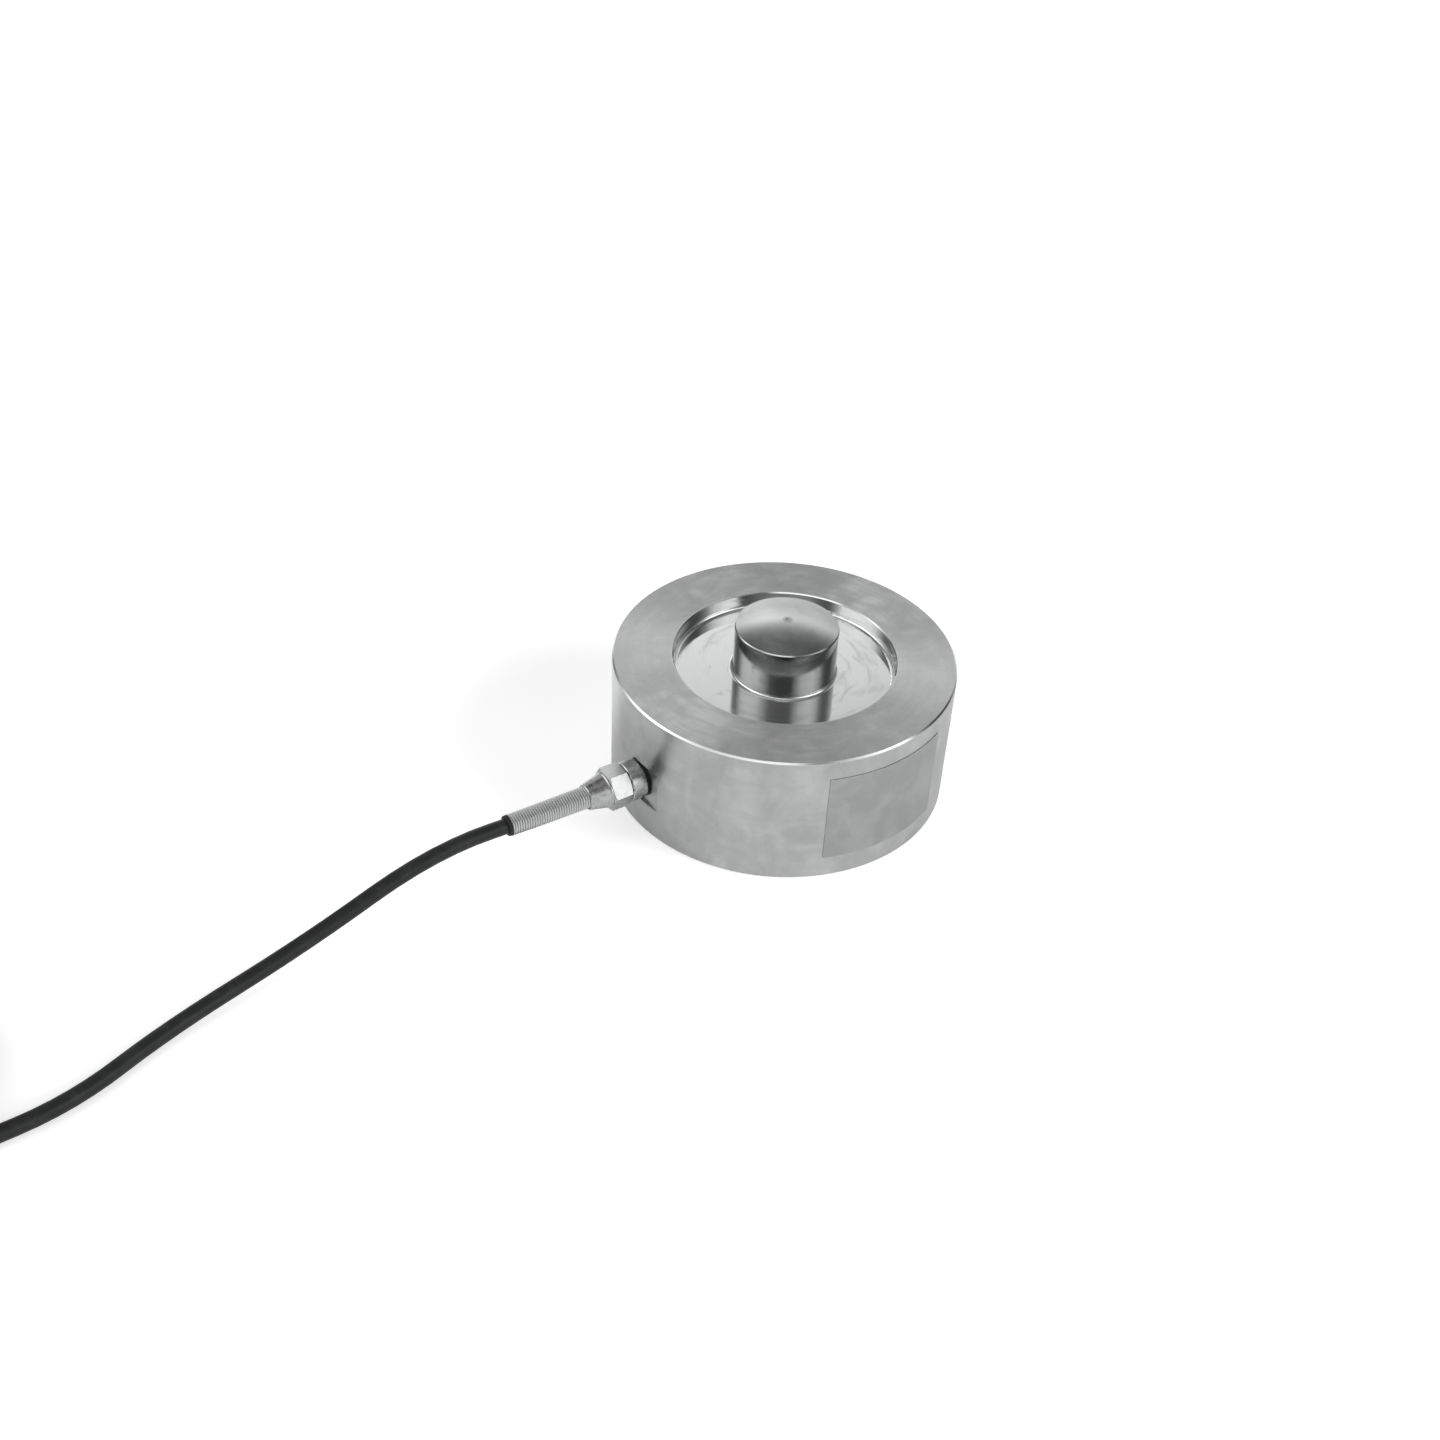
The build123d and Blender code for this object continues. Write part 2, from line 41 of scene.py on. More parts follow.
# Sizes shared with the solids, in metres: Z is the load axis and the gland lies along -X
BODY_RADIUS = 62.5 * MM
BODY_TOP = 52.0 * MM
RECESS_RADIUS = 40.5 * MM
RECESS_FLOOR = 46.0 * MM
BUTTON_RADIUS = 18.8 * MM
BUTTON_RIM = 64.5 * MM
MILLED_FLAT = -61.4 * MM
GLAND_HEIGHT = 21.0 * MM

# Camera, turned about the load axis so that the gland points along -X. The shift is in body
# radii: back from the origin, to the left and up.
CAMERA_AZIMUTH = math.radians(-36.0)
CAMERA_ELEVATION = math.radians(37.8)
CAMERA_ROLL = 0.0548
CAMERA_SHIFT = (10.3922, 0.3401, 0.2774)
LENS = 42.63
SENSOR = 36.0

# Level directions of the studio, as the camera stands: towards it and to its right
TOWARD = Vector((-0.588, -0.809, 0.0))
RIGHTWARD = Vector((0.809, -0.588, 0.0))


def make_camera():
    level = Vector((math.cos(CAMERA_AZIMUTH), math.sin(CAMERA_AZIMUTH), 0.0))
    ahead = Vector((-level.y, level.x, 0.0)) * math.cos(CAMERA_ELEVATION)
    forward = ahead - Vector((0.0, 0.0, math.sin(CAMERA_ELEVATION)))
    upward = level.cross(forward)
    right = math.cos(CAMERA_ROLL) * level + math.sin(CAMERA_ROLL) * upward
    top = -math.sin(CAMERA_ROLL) * level + math.cos(CAMERA_ROLL) * upward
    back, left, up = CAMERA_SHIFT
    place = BODY_RADIUS * (-back * forward - left * right + up * top)
    data = bpy.data.cameras.new("camera")
    data.lens = LENS
    data.sensor_width = SENSOR
    data.clip_start = 0.01
    data.clip_end = 20.0
    camera = bpy.data.objects.new("camera", data)
    bpy.context.collection.objects.link(camera)
    turn = Matrix((right, top, -forward)).transposed()
    camera.matrix_world = Matrix.Translation(place) @ turn.to_4x4()
    bpy.context.scene.camera = camera


make_camera()


# Small helpers for materials: every value is set on a socket, or linked
def new_material(name):
    material = bpy.data.materials.new(name)
    material.use_nodes = True
    tree = material.node_tree
    tree.nodes.clear()
    shader = tree.nodes.new("ShaderNodeBsdfPrincipled")
    output = tree.nodes.new("ShaderNodeOutputMaterial")
    tree.links.new(shader.outputs["BSDF"], output.inputs["Surface"])
    return material, tree, shader


def feed(tree, socket, value):
    if isinstance(value, bpy.types.NodeSocket):
        tree.links.new(value, socket)
    else:
        socket.default_value = value


def calc(tree, operation, *values, clamp=False):
    node = tree.nodes.new("ShaderNodeMath")
    node.operation = operation
    node.use_clamp = clamp
    for socket, value in zip(node.inputs, values):
        feed(tree, socket, value)
    return node.outputs[0]


def times(tree, first, second, clamp=False):
    return calc(tree, "MULTIPLY", first, second, clamp=clamp)


def plus(tree, base, value, gain=1.0):
    """base with gain times value added."""
    return calc(tree, "ADD", base, value if gain == 1.0 else times(tree, value, gain))


def minus(tree, first, second):
    return calc(tree, "SUBTRACT", first, second)


def vector_calc(tree, operation, *values):
    node = tree.nodes.new("ShaderNodeVectorMath")
    node.operation = operation
    for socket, value in zip(node.inputs, values):
        feed(tree, socket, value)
    return node.outputs["Value" if operation in ("DOT_PRODUCT", "LENGTH") else "Vector"]


def mix(tree, factor, low, high):
    """A colour between low and high."""
    node = tree.nodes.new("ShaderNodeMix")
    node.data_type = "RGBA"
    feed(tree, node.inputs[0], factor)
    feed(tree, node.inputs[6], low)
    feed(tree, node.inputs[7], high)
    return node.outputs[2]


def blend(tree, factor, low, high):
    """A number between low and high."""
    node = tree.nodes.new("ShaderNodeMix")
    node.data_type = "FLOAT"
    feed(tree, node.inputs[0], factor)
    feed(tree, node.inputs[2], low)
    feed(tree, node.inputs[3], high)
    return node.outputs[0]


def rise(tree, value, start, end):
    """0 below start and 1 above end, smooth between."""
    node = tree.nodes.new("ShaderNodeMapRange")
    node.interpolation_type = "SMOOTHSTEP"
    feed(tree, node.inputs["Value"], value)
    node.inputs["From Min"].default_value = start
    node.inputs["From Max"].default_value = end
    return node.outputs["Result"]


def between(tree, value, low, high, soft):
    """1 between low and high, fading over soft on either side."""
    return minus(tree, rise(tree, value, low - soft, low), rise(tree, value, high, high + soft))


def past(tree, value, place, start, end):
    """0 up to start millimetres beyond place and 1 from end on, smooth between."""
    return rise(tree, value, place + start * MM, place + end * MM)


def near(tree, value, place, start, end, soft):
    """1 from start to end millimetres beyond place, fading over soft millimetres."""
    return between(tree, value, place + start * MM, place + end * MM, soft * MM)


def object_point(tree):
    return tree.nodes.new("ShaderNodeTexCoord").outputs["Object"]


def surface_normal(tree):
    return tree.nodes.new("ShaderNodeNewGeometry").outputs["Normal"]


def split(tree, vector):
    node = tree.nodes.new("ShaderNodeSeparateXYZ")
    feed(tree, node.inputs[0], vector)
    return node.outputs["X"], node.outputs["Y"], node.outputs["Z"]


def join(tree, x, y, z):
    node = tree.nodes.new("ShaderNodeCombineXYZ")
    for socket, value in zip(node.inputs, (x, y, z)):
        feed(tree, socket, value)
    return node.outputs[0]


def noise(tree, vector, scale, detail=4.0, rough=0.55, distortion=0.0):
    node = tree.nodes.new("ShaderNodeTexNoise")
    feed(tree, node.inputs["Vector"], vector)
    node.inputs["Scale"].default_value = scale
    node.inputs["Detail"].default_value = detail
    node.inputs["Roughness"].default_value = rough
    node.inputs["Distortion"].default_value = distortion
    return node.outputs["Fac"]


def stretch(tree, vector, x, y, z):
    return vector_calc(tree, "MULTIPLY", vector, (x, y, z))


def bump(tree, height, strength, depth, normal=None):
    """A bump of height, depth millimetres deep, laid over normal where one is given."""
    node = tree.nodes.new("ShaderNodeBump")
    feed(tree, node.inputs["Height"], height)
    node.inputs["Strength"].default_value = strength
    node.inputs["Distance"].default_value = depth * MM
    if normal is not None:
        feed(tree, node.inputs["Normal"], normal)
    return node.outputs["Normal"]


def grey(value, tint=0.0):
    """A neutral tone, with a slight cool green cast as tint grows."""
    return (value * (1 - tint), value, value * (1 - 0.4 * tint), 1.0)


# Ground steel: turned satin outside, almost a mirror inside the recess. Each pair of tones
# runs from clean metal to haze or smears. The glaze is what the web lacks in metal, and the
# roughness of haze, smears and scratches is added to what lies under them.
SIDE_TONES = (grey(0.45, 0.02), grey(0.59, 0.012))
RING_TONES = (grey(0.58, 0.02), grey(0.82, 0.012))
WEB_TONES = (grey(0.64, 0.015), grey(0.56, 0.02))
CROWN_TONES = (grey(0.5, 0.02), grey(0.58, 0.015))
BUTTON_TONE = grey(0.42, 0.02)
WALL_TONE = grey(0.62, 0.012)
CENTRE_TONE = grey(0.6, 0.015)
# The bright tone is a painted highlight, laid on the top rim's chamfer and the fillets at the
# recess floor
PAINTED_HIGHLIGHT_TONE = grey(0.85, 0.01)
WEB_GLAZE = -0.12
SIDE_ROUGH, RING_ROUGH, HAZE_ROUGH, SCRATCH_ROUGH = 0.28, 0.43, 0.1, -0.06
MIRROR_ROUGH, SMEAR_ROUGH = 0.075, 0.14
CROWN_ROUGH, CROWN_HAZE_ROUGH, CENTRE_ROUGH = 0.17, 0.08, 0.5
MILLED_ROUGH, PAINTED_HIGHLIGHT_ROUGH = 0.3, 0.2
SIDE_GRAIN, RING_GRAIN, INSIDE_GRAIN = 0.45, 0.88, 0.15


def body_material():
    material, tree, shader = new_material("ground_steel")
    point = object_point(tree)
    x, y, z = split(tree, point)
    radius = vector_calc(tree, "LENGTH", join(tree, x, y, 0.0))
    angle = calc(tree, "ARCTAN2", y, x)
    normal_x, _, normal_z = split(tree, surface_normal(tree))

    # Masks: level faces, the recess with its parts, the milled flat, and the rim and fillet
    # edges that carry a painted highlight
    level = rise(tree, normal_z, 0.75, 0.95)
    inside = minus(tree, 1.0, past(tree, radius, RECESS_RADIUS, 0.2, 0.7))
    crown = times(tree, inside, past(tree, z, BUTTON_RIM, -0.2, 0.1))
    wall = times(tree, inside, past(tree, radius, RECESS_RADIUS, -0.2, -0.08))
    web = times(tree, minus(tree, inside, crown), level)
    centre = times(tree, crown, minus(tree, 1.0, past(tree, radius, 0.0, 1.2, 2.2)))
    facing = calc(tree, "LESS_THAN", normal_x, -0.995)
    milled = times(tree, near(tree, x, MILLED_FLAT, -0.05, 0.1, 0.03), facing)
    rim = past(tree, radius, BODY_RADIUS, -0.8, -0.6)
    edge = times(tree, rim, near(tree, z, BODY_TOP, -0.65, -0.05, 0.05))
    fillets = near(tree, z, RECESS_FLOOR, 0.03, 1.4, 0.05)
    by_button = near(tree, radius, BUTTON_RADIUS, 0.03, 1.2, 0.03)
    by_wall = near(tree, radius, RECESS_RADIUS, -1.4, -0.03, 0.03)
    corner = times(tree, fillets, plus(tree, by_button, by_wall), clamp=True)
    # Painted highlight: the fillets by the button and by the wall, and the top rim's edge, get
    # the bright tone
    painted_highlight = calc(tree, "MAXIMUM", corner, edge)

    # Turning marks run round the load axis; haze, smears and scratches lie over them
    rings = noise(tree, join(tree, radius, z, 0.0), 4200.0, 3.0, 0.6)
    cloud = noise(tree, point, 46.0, 5.0, 0.62, 0.7)
    patch = noise(tree, stretch(tree, point, 1.0, 1.0, 0.55), 105.0, 3.0, 0.5, 0.4)
    mottle = rise(tree, plus(tree, times(tree, cloud, 0.6), patch, 0.4), 0.36, 0.64)
    wiped = join(tree, radius, times(tree, angle, 0.008), times(tree, z, 0.4))
    sweep = rise(tree, noise(tree, wiped, 260.0, 4.0, 0.6, 0.6), 0.38, 0.62)
    haze = times(tree, mottle, plus(tree, 0.6, sweep, 0.55), clamp=True)
    curled = join(tree, times(tree, radius, 1.6), times(tree, angle, 0.012), z)
    smear = rise(tree, noise(tree, curled, 150.0, 3.0, 0.55, 0.9), 0.48, 0.74)
    grain = noise(tree, point, 1300.0, 2.0, 0.7)
    scored = noise(tree, stretch(tree, point, 3.0, 0.2, 1.0), 520.0, 2.0, 0.5, 0.3)
    scratch = rise(tree, scored, 0.66, 0.74)

    outer_tone = mix(tree, level, mix(tree, haze, *SIDE_TONES), mix(tree, haze, *RING_TONES))
    inner_tone = mix(tree, web, BUTTON_TONE, mix(tree, smear, *WEB_TONES))
    inner_tone = mix(tree, wall, inner_tone, WALL_TONE)
    crown_tone = mix(tree, centre, mix(tree, haze, *CROWN_TONES), CENTRE_TONE)
    tone = mix(tree, inside, outer_tone, mix(tree, crown, inner_tone, crown_tone))
    feed(tree, shader.inputs["Base Color"], mix(tree, painted_highlight, tone, PAINTED_HIGHLIGHT_TONE))
    feed(tree, shader.inputs["Metallic"], plus(tree, 1.0, web, WEB_GLAZE))

    satin = plus(tree, blend(tree, level, SIDE_ROUGH, RING_ROUGH), haze, HAZE_ROUGH)
    satin = plus(tree, satin, scratch, SCRATCH_ROUGH)
    mirror = plus(tree, MIRROR_ROUGH, smear, SMEAR_ROUGH)
    crown_rough = plus(tree, CROWN_ROUGH, haze, CROWN_HAZE_ROUGH)
    crown_rough = blend(tree, centre, crown_rough, CENTRE_ROUGH)
    rough = blend(tree, inside, satin, blend(tree, crown, mirror, crown_rough))
    rough = blend(tree, milled, rough, MILLED_ROUGH)
    feed(tree, shader.inputs["Roughness"], blend(tree, painted_highlight, rough, PAINTED_HIGHLIGHT_ROUGH))

    outer_grain = blend(tree, level, SIDE_GRAIN, RING_GRAIN)
    feed(tree, shader.inputs["Anisotropic"], blend(tree, inside, outer_grain, INSIDE_GRAIN))
    shader.inputs["Anisotropic Rotation"].default_value = 0.25
    tangent = tree.nodes.new("ShaderNodeTangent")
    tangent.direction_type = "RADIAL"
    tangent.axis = "Z"
    feed(tree, shader.inputs["Tangent"], tangent.outputs[0])
    grooves = bump(tree, rings, 0.12, 0.02)
    grains = bump(tree, grain, 0.1, 0.015, grooves)
    feed(tree, shader.inputs["Normal"], bump(tree, cloud, 0.06, 0.1, grains))
    return material


def plated_material():
    """Nickel plate on the gland, smeared, with fine marks round its axis."""
    material, tree, shader = new_material("nickel_plate")
    point = object_point(tree)
    smear = noise(tree, point, 420.0, 4.0, 0.6, 0.8)
    fine = noise(tree, stretch(tree, point, 1.0, 0.25, 0.25), 3000.0, 2.0, 0.6)
    tone = mix(tree, rise(tree, smear, 0.38, 0.62), grey(0.44, 0.02), grey(0.56, 0.01))
    shader.inputs["Metallic"].default_value = 1.0
    feed(tree, shader.inputs["Base Color"], tone)
    rough = plus(tree, 0.24, rise(tree, smear, 0.4, 0.7), 0.14)
    feed(tree, shader.inputs["Roughness"], rough)
    feed(tree, shader.inputs["Normal"], bump(tree, fine, 0.05, 0.01))
    return material


def wire_material():
    """Drawn wire, with painted shade darkening it in the grooves between the turns."""
    material, tree, shader = new_material("drawn_wire")
    point = object_point(tree)
    _, y, z = split(tree, point)
    reach = vector_calc(tree, "LENGTH", join(tree, 0.0, y, minus(tree, z, GLAND_HEIGHT)))
    # Painted shade: the inner side of the wire, down between the turns, is painted dark
    painted_groove_shade = minus(tree, 1.0, past(tree, reach, 0.0, 3.35, 3.85))
    fine = noise(tree, point, 2200.0, 3.0, 0.6)
    clean = mix(tree, fine, grey(0.6, 0.02), grey(0.72, 0.01))
    shader.inputs["Metallic"].default_value = 1.0
    feed(tree, shader.inputs["Base Color"], mix(tree, painted_groove_shade, clean, grey(0.19, 0.03)))
    feed(tree, shader.inputs["Roughness"], plus(tree, 0.36, fine, 0.1))
    feed(tree, shader.inputs["Normal"], bump(tree, fine, 0.05, 0.01))
    return material


def jacket_material():
    """Black cable jacket, with a little dust."""
    material, tree, shader = new_material("cable_jacket")
    point = object_point(tree)
    fine = noise(tree, point, 1800.0, 4.0, 0.6)
    dust = noise(tree, point, 160.0, 5.0, 0.6, 0.4)
    tone = mix(tree, rise(tree, dust, 0.45, 0.75), grey(0.018, 0.08), grey(0.032, 0.06))
    feed(tree, shader.inputs["Base Color"], tone)
    feed(tree, shader.inputs["Roughness"], plus(tree, 0.33, dust, 0.16))
    shader.inputs["Specular IOR Level"].default_value = 0.25
    feed(tree, shader.inputs["Normal"], bump(tree, fine, 0.15, 0.03))
    return material


def foil_material():
    """The side plate's foil: a brushed grey face, and edges painted pale and not metal, painted
    light that takes out the dark line they would show.
    """
    material, tree, shader = new_material("plate_foil")
    point = object_point(tree)
    x, y, z = split(tree, point)
    combed = join(tree, times(tree, x, 0.06), times(tree, y, 0.06), z)
    brushed = noise(tree, combed, 3600.0, 3.0, 0.6)
    cloud = noise(tree, point, 70.0, 4.0, 0.6, 0.5)
    from_axis = vector_calc(tree, "NORMALIZE", join(tree, x, y, 0.0))
    outward = vector_calc(tree, "DOT_PRODUCT", surface_normal(tree), from_axis)
    face = rise(tree, outward, 0.8, 0.95)
    printed = mix(tree, rise(tree, cloud, 0.35, 0.7), grey(0.37, 0.02), grey(0.45, 0.015))
    feed(tree, shader.inputs["Metallic"], face)
    # The edges' pale grey is painted light over what would be a dark edge
    feed(tree, shader.inputs["Base Color"], mix(tree, face, grey(0.62, 0.01), printed))
    rough = blend(tree, face, 0.6, plus(tree, 0.3, cloud, 0.14))
    feed(tree, shader.inputs["Roughness"], rough)
    feed(tree, shader.inputs["Normal"], bump(tree, brushed, 0.08, 0.02))
    return material


def plain_material(name, color, roughness, metallic=0.0, speck=0.1):
    """One colour, lighter and darker by speck, with a fine grain."""
    material, tree, shader = new_material(name)
    fine = noise(tree, object_point(tree), 1400.0, 3.0, 0.6)
    dark = tuple(c * (1 - speck) for c in color) + (1.0,)
    light = tuple(min(1.0, c * (1 + speck)) for c in color) + (1.0,)
    feed(tree, shader.inputs["Base Color"], mix(tree, fine, dark, light))
    shader.inputs["Metallic"].default_value = metallic
    feed(tree, shader.inputs["Roughness"], plus(tree, roughness - 0.05, fine, 0.1))
    feed(tree, shader.inputs["Normal"], bump(tree, fine, 0.08, 0.02))
    return material


MATERIALS = {
    "steel": body_material(),
    "plated": plated_material(),
    "wire": wire_material(),
    "jacket": jacket_material(),
    "foil": foil_material(),
    "rubber": plain_material("black_rubber", (0.012, 0.013, 0.012), 0.7, 0.0, 0.25),
    "nylon": plain_material("black_nylon", (0.03, 0.03, 0.03), 0.4),
    "washer": plain_material("white_nylon", (0.8, 0.79, 0.75), 0.45, 0.0, 0.04),
    "cover": plain_material("turned_steel", (0.58, 0.59, 0.585), 0.32, 1.0, 0.06),
    "board": plain_material("green_laminate", (0.03, 0.2, 0.07), 0.35),
    "screw": plain_material("zinc_screw", (0.6, 0.6, 0.58), 0.3, 1.0),
    "solder": plain_material("tin_solder", (0.7, 0.7, 0.68), 0.25, 1.0),
    "film": plain_material("amber_film", (0.55, 0.26, 0.05), 0.3),
    "ribbon": plain_material("copper_ribbon", (0.72, 0.4, 0.24), 0.3, 1.0),
    "ceramic": plain_material("glazed_ceramic", (0.45, 0.38, 0.22), 0.3),
    "copper": plain_material("tinned_copper", (0.74, 0.62, 0.5), 0.3, 1.0),
    "core_red": plain_material("core_red", (0.5, 0.02, 0.015), 0.35),
    "core_black": plain_material("core_black", (0.015, 0.015, 0.015), 0.35),
    "core_green": plain_material("core_green", (0.02, 0.24, 0.05), 0.35),
    "core_white": plain_material("core_white", (0.8, 0.8, 0.77), 0.35, 0.0, 0.03),
}
CORES = ("core_red", "core_black", "core_green", "core_white")


# Solids that keep their shape: a material each, and smooth shading between sharp edges. The
# body keeps the normals that it comes with.
def dress(name, material, even=True):
    obj = NODES[name]
    mesh = obj.data
    mesh.materials.clear()
    mesh.materials.append(MATERIALS[material])
    if not even:
        return
    for polygon in mesh.polygons:
        polygon.use_smooth = True
        polygon.material_index = 0
    mesh.set_sharp_from_angle(angle=math.radians(25.0))
    weighted = obj.modifiers.new("even_normals", "WEIGHTED_NORMAL")
    weighted.keep_sharp = True
    weighted.mode = "FACE_AREA"


SINGLE_SOLIDS = {
    "base_cover": "cover",
    "nameplate": "foil",
    "gland_body": "plated",
    "gland_nut": "plated",
    "gland_o_ring": "rubber",
    "gland_seal": "rubber",
    "gland_washer": "washer",
    "passage_plug": "rubber",
    "terminal_board": "board",
    "board_screws": "screw",
    "solder_pads": "solder",
    "coil_tie": "nylon",
    "tail_sleeve": "nylon",
}
SOLIDS_IN_FOURS = {
    "gauge_inner": "film",
    "gauge_outer": "film",
    "bridge_lead_inner": "ribbon",
    "bridge_lead_outer": "ribbon",
}
dress("spring_body", "steel", even=False)
for node, material in SINGLE_SOLIDS.items():
    dress(node, material)
for number, core in enumerate(CORES, 1):
    for node, material in SOLIDS_IN_FOURS.items():
        dress(f"{node}_{number}", material)
    dress(f"cable_core_{number}", core)
for number in range(1, 4):
    dress(f"trim_resistor_{number}", "ceramic")


# Round lines and meshes that take the place of solids
def make_line(name, points, radius, roundness, material):
    curve = bpy.data.curves.new(name, "CURVE")
    curve.dimensions = "3D"
    spline = curve.splines.new("NURBS")
    spline.points.add(len(points) - 1)
    for target, point in zip(spline.points, points):
        target.co = (*point, 1.0)
    spline.order_u = 3
    spline.use_endpoint_u = True
    spline.resolution_u = 6
    curve.bevel_depth = radius
    curve.bevel_resolution = roundness
    curve.use_fill_caps = True
    curve.materials.append(MATERIALS[material])
    obj = bpy.data.objects.new(name, curve)
    bpy.context.collection.objects.link(obj)
    return obj


def make_mesh(name, verts, faces, material):
    mesh = bpy.data.meshes.new(name)
    mesh.from_pydata(verts, [], faces)
    mesh.update()
    for polygon in mesh.polygons:
        polygon.use_smooth = True
    mesh.set_sharp_from_angle(angle=math.radians(50.0))
    mesh.materials.append(MATERIALS[material])
    obj = bpy.data.objects.new(name, mesh)
    bpy.context.collection.objects.link(obj)
    return obj


# Cable: the route's points, then the coil's turns and the tail, all one spline. The route is
# in millimetres, and the tail says how far on and how high.
CABLE_RADIUS = 2.75 * MM
CABLE_ROUNDNESS = 6
PITCH = 2 * CABLE_RADIUS
COIL_X = -340.0 * MM
COIL_Y = 17.15 * MM
COIL_LOW = 3.75 * MM
COIL_IN = 24.65 * MM
COIL_OUT = 41.15 * MM
COIL_SIDE = COIL_Y - COIL_OUT
LAYERS = 4
TURNS_PER_LAYER = 3
TURN_POINTS = 16
CLIMB_POINTS = TURN_POINTS // 4
ROUTE = [
    (-54.5, 0.0, 21.0),
    (-99.0, 0.0, 21.0),
    (-142.0, 0.0, 23.6),
    (-190.0, -2.5, 8.0),
    (-240.0, -10.0, 2.8),
    (-274.0, -24.0, 3.75),
    (-307.0, -24.0, 3.75),
]
TAIL = [(25.0, 18.6), (60.0, 3.75), (86.0, 3.75)]


def coil_points():
    """Layers of spiral turns, with a quarter turn to climb to each next layer."""
    widen = 1.0 / math.cos(math.pi / TURN_POINTS)
    step = 2 * math.pi / TURN_POINTS
    count = TURNS_PER_LAYER * TURN_POINTS
    points = []
    angle = -math.pi / 2
    height = COIL_LOW
    for layer in range(LAYERS):
        first, last = (COIL_OUT, COIL_IN) if layer % 2 == 0 else (COIL_IN, COIL_OUT)
        for k in range(count):
            points.append(((first + (last - first) * k / count) * widen, angle, height))
            angle -= step
        climb = PITCH if layer < LAYERS - 1 else 0.0
        for k in range(CLIMB_POINTS):
            points.append((last * widen, angle, height + climb * k / CLIMB_POINTS))
            angle -= step
        height += climb
    return [(COIL_X + r * math.cos(a), COIL_Y + r * math.sin(a), z) for r, a, z in points]


def lift(x):
    """How far the cable stands above the gland's axis at x, as its first span bends up."""
    first, middle = ROUTE[0][0] * MM, ROUTE[1][0] * MM
    last = (ROUTE[1][0] + ROUTE[2][0]) / 2 * MM
    a, b = first - 2 * middle + last, 2 * (middle - first)
    t = (-b - math.sqrt(b * b - 4 * a * (first - x))) / (2 * a)
    return t * t * (ROUTE[2][2] - ROUTE[1][2]) / 2 * MM


def on_line(x):
    """The middle of the cable at x, on its first span."""
    return Vector((x, 0.0, GLAND_HEIGHT + lift(x)))


def make_cable():
    points = [(x * MM, y * MM, z * MM) for x, y, z in ROUTE]
    points += coil_points()
    points.append((COIL_X, COIL_SIDE, COIL_LOW + (LAYERS - 1) * PITCH))
    points += [(COIL_X - along * MM, COIL_SIDE, z * MM) for along, z in TAIL]
    return make_line("cable_jacket", points, CABLE_RADIUS, CABLE_ROUNDNESS, "jacket")


# Strain relief: one round wire wound close round the cable, its ends ground flat
SPRING_START = -82.0 * MM
SPRING_END = -114.05 * MM
SPRING_PITCH = 0.95 * MM
SPRING_WIRE = 0.46 * MM
SPRING_FIRST = 3.645 * MM
SPRING_LAST = 3.375 * MM
SPRING_STEPS = 48
SPRING_SIDES = 12


def make_spring():
    sides = SPRING_SIDES
    length = SPRING_START - SPRING_END
    turns = length / SPRING_PITCH + 2
    count = int(turns * SPRING_STEPS)
    verts, faces = [], []
    for i in range(count + 1):
        done = turns * i / count
        angle = 2 * math.pi * done
        along = (done - 1) * SPRING_PITCH
        radius = SPRING_FIRST + (SPRING_LAST - SPRING_FIRST) * along / length
        outward = Vector((0.0, math.cos(angle), math.sin(angle)))
        for k in range(sides):
            turn = 2 * math.pi * k / sides
            place = SPRING_START - along + SPRING_WIRE * math.sin(turn)
            place = max(SPRING_END, min(SPRING_START, place))
            reach = radius + SPRING_WIRE * math.cos(turn)
            verts.append(on_line(place) + outward * reach)
    for i in range(count):
        for k in range(sides):
            a = i * sides + k
            b = i * sides + (k + 1) % sides
            faces.append((a, b, b + sides, a + sides))
    return make_mesh("relief_wire", verts, faces, "wire")


# A black bush in the spring's mouth, a dark piece that stands in for the shade there, as places
# along the cable and radii in millimetres
SHADE_BUSH_PROFILE = [
    (-114.1, 2.72),
    (-114.1, 3.7),
    (-114.9, 3.7),
    (-115.1, 3.62),
    (-115.2, 3.4),
    (-115.2, 2.72),
]
SHADE_BUSH_SIDES = 64


def make_shade_bush():
    sides = SHADE_BUSH_SIDES
    verts, faces = [], []
    for x, reach in SHADE_BUSH_PROFILE:
        for k in range(sides):
            angle = 2 * math.pi * k / sides
            outward = Vector((0.0, math.cos(angle), math.sin(angle)))
            verts.append(on_line(x * MM) + outward * (reach * MM))
    for i in range(len(SHADE_BUSH_PROFILE)):
        for k in range(sides):
            a, b = i * sides, (i + 1) % len(SHADE_BUSH_PROFILE) * sides
            faces.append((a + k, b + k, b + (k + 1) % sides, a + (k + 1) % sides))
    return make_mesh("end_bush", verts, faces, "rubber")


cable = make_cable()
spring = make_spring()
# The black bush is painted shade at the spring's mouth
bush = make_shade_bush()
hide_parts("strain_relief_spring")
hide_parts("spring_end_bush")
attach(spring, "root")
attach(bush, "root")


# Flying leads: insulation and a bare tip each, where the solids lie. Each starts beside and
# above or below the cable's middle and fans out by so many degrees.
LEADS = [(-1, 1, -24.0), (-1, -1, -8.0), (1, -1, 8.0), (1, 1, 24.0)]
LEAD_OFFSET = 0.75 * MM
LEAD_RADIUS = 0.55 * MM
LEAD_ROUNDNESS = 4
LEAD_LENGTH = 34.0 * MM
LEAD_HEIGHT = 0.6 * MM
SLEEVE_REACH = 6.0 * MM
TIP_RADIUS = 0.35 * MM
TIP_LENGTH = 6.0 * MM
TIP_INSET = 0.5 * MM


